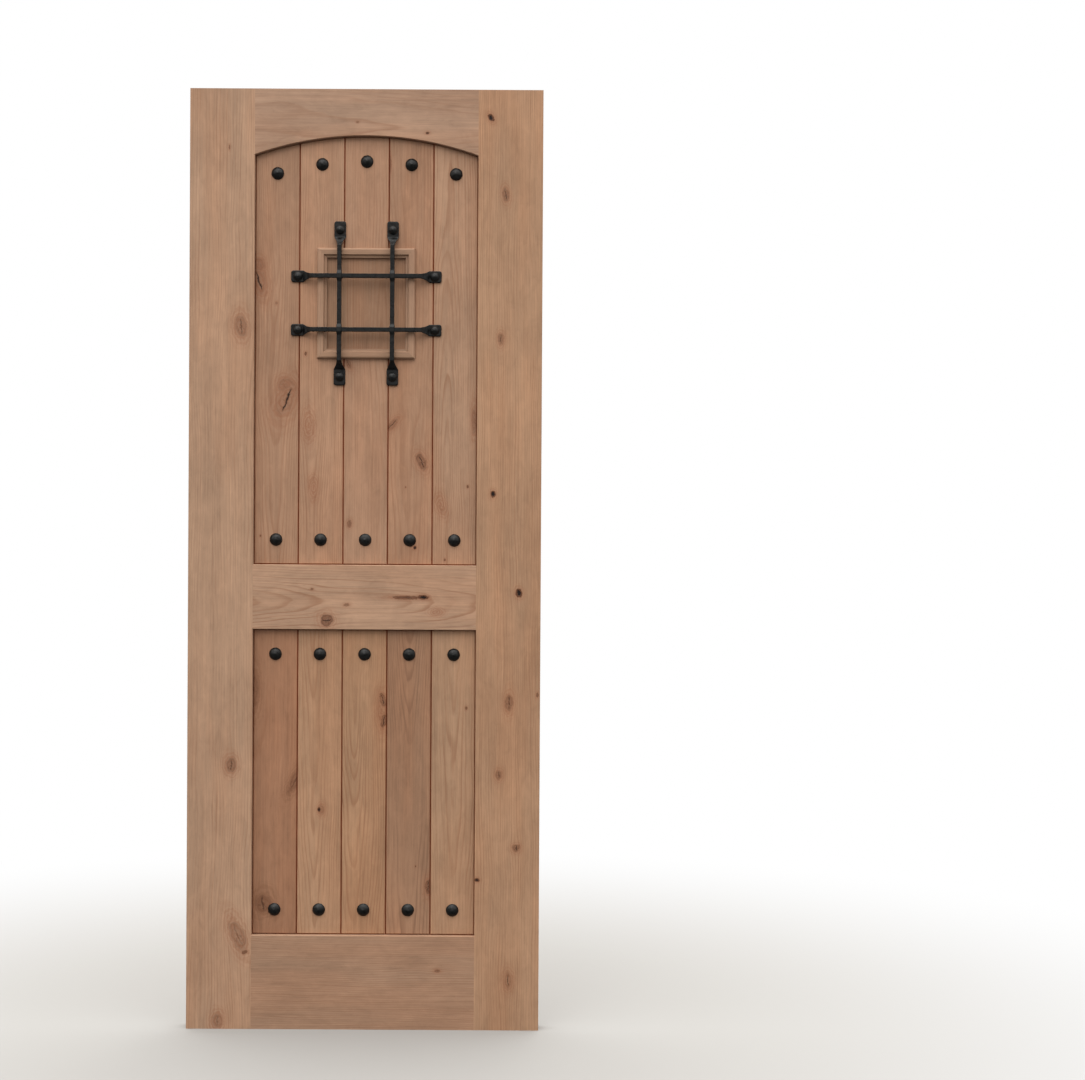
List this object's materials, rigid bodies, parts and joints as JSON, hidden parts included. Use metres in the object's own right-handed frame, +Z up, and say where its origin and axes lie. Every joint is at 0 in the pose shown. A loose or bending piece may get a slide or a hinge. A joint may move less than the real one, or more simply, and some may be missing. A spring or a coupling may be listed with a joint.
{
  "type": "arched wooden door",
  "caption": "Arched plank door leaf of knotty wood with round nail heads, and a grilled port closed by a hinged, bolted little door.",
  "frame": {"origin": "middle of the leaf's bottom edge face, halfway through its thickness", "axes": "+X from the hinge stile to the lock stile, +Y from the outside face to the inside face, +Z up"},
  "size_m": [0.762, 0.0751, 2.032],
  "materials": {
    "frame_wood": "planed and sanded, unfinished",
    "plank_wood": "planed and sanded, unfinished, knotty",
    "port_wood": "planed and sanded, unfinished",
    "dowel_wood": "fluted hardwood, glued",
    "forged_iron": "hammered, dark oil-rubbed",
    "black_steel": "satin black",
    "screw_steel": "black"
  },
  "bodies": {
    "leaf": {"hinge_stile": "frame_wood", "lock_stile": "frame_wood", "top_rail": "frame_wood", "mid_rail": "frame_wood", "bottom_rail": "frame_wood", "top_rail_dowels": "dowel_wood", "mid_rail_dowels": "dowel_wood", "bottom_rail_dowels": "dowel_wood", "upper_plank_1": "plank_wood", "upper_plank_2": "plank_wood", "upper_plank_3_below_port": "plank_wood", "upper_plank_3_above_port": "plank_wood", "upper_plank_4": "plank_wood", "upper_plank_5": "plank_wood", "lower_plank_1": "plank_wood", "lower_plank_2": "plank_wood", "lower_plank_3": "plank_wood", "lower_plank_4": "plank_wood", "lower_plank_5": "plank_wood", "clavos_upper_top": "forged_iron", "clavos_upper_bottom": "forged_iron", "clavos_lower_top": "forged_iron", "clavos_lower_bottom": "forged_iron", "port_moulding_top": "port_wood", "port_moulding_right": "port_wood", "port_moulding_bottom": "port_wood", "port_moulding_left": "port_wood", "port_casing_top": "port_wood", "port_casing_right": "port_wood", "port_casing_bottom": "port_wood", "port_casing_left": "port_wood", "lower_hinge_casing_leaf": "black_steel", "lower_hinge_pin": "black_steel", "upper_hinge_casing_leaf": "black_steel", "upper_hinge_pin": "black_steel", "hinge_casing_screws": "screw_steel", "bolt_keeper": "black_steel", "keeper_screws": "screw_steel", "grille_bar_left": "forged_iron", "grille_bar_right": "forged_iron", "grille_bar_lower": "forged_iron", "grille_bar_upper": "forged_iron", "grille_nails": "forged_iron"},
    "speakeasy_door": {"speakeasy_door": "port_wood", "lower_hinge_door_leaf": "black_steel", "upper_hinge_door_leaf": "black_steel", "hinge_door_screws": "screw_steel", "bolt_base": "black_steel", "bolt_screws": "screw_steel"},
    "bolt": {"bolt_rod": "black_steel", "bolt_knob": "black_steel"}
  },
  "joints": [
    {"name": "speakeasy_door_swing", "type": "hinge", "parent": "leaf", "child": "speakeasy_door", "pos_m": [-0.089, 0.02573, 1.571], "axis": [0, 0, 1], "range_deg": [0, 170]},
    {"name": "bolt_slide", "type": "slide", "parent": "speakeasy_door", "child": "bolt", "axis": [1, 0, 0], "range_m": [0, 0.018]}
  ]
}
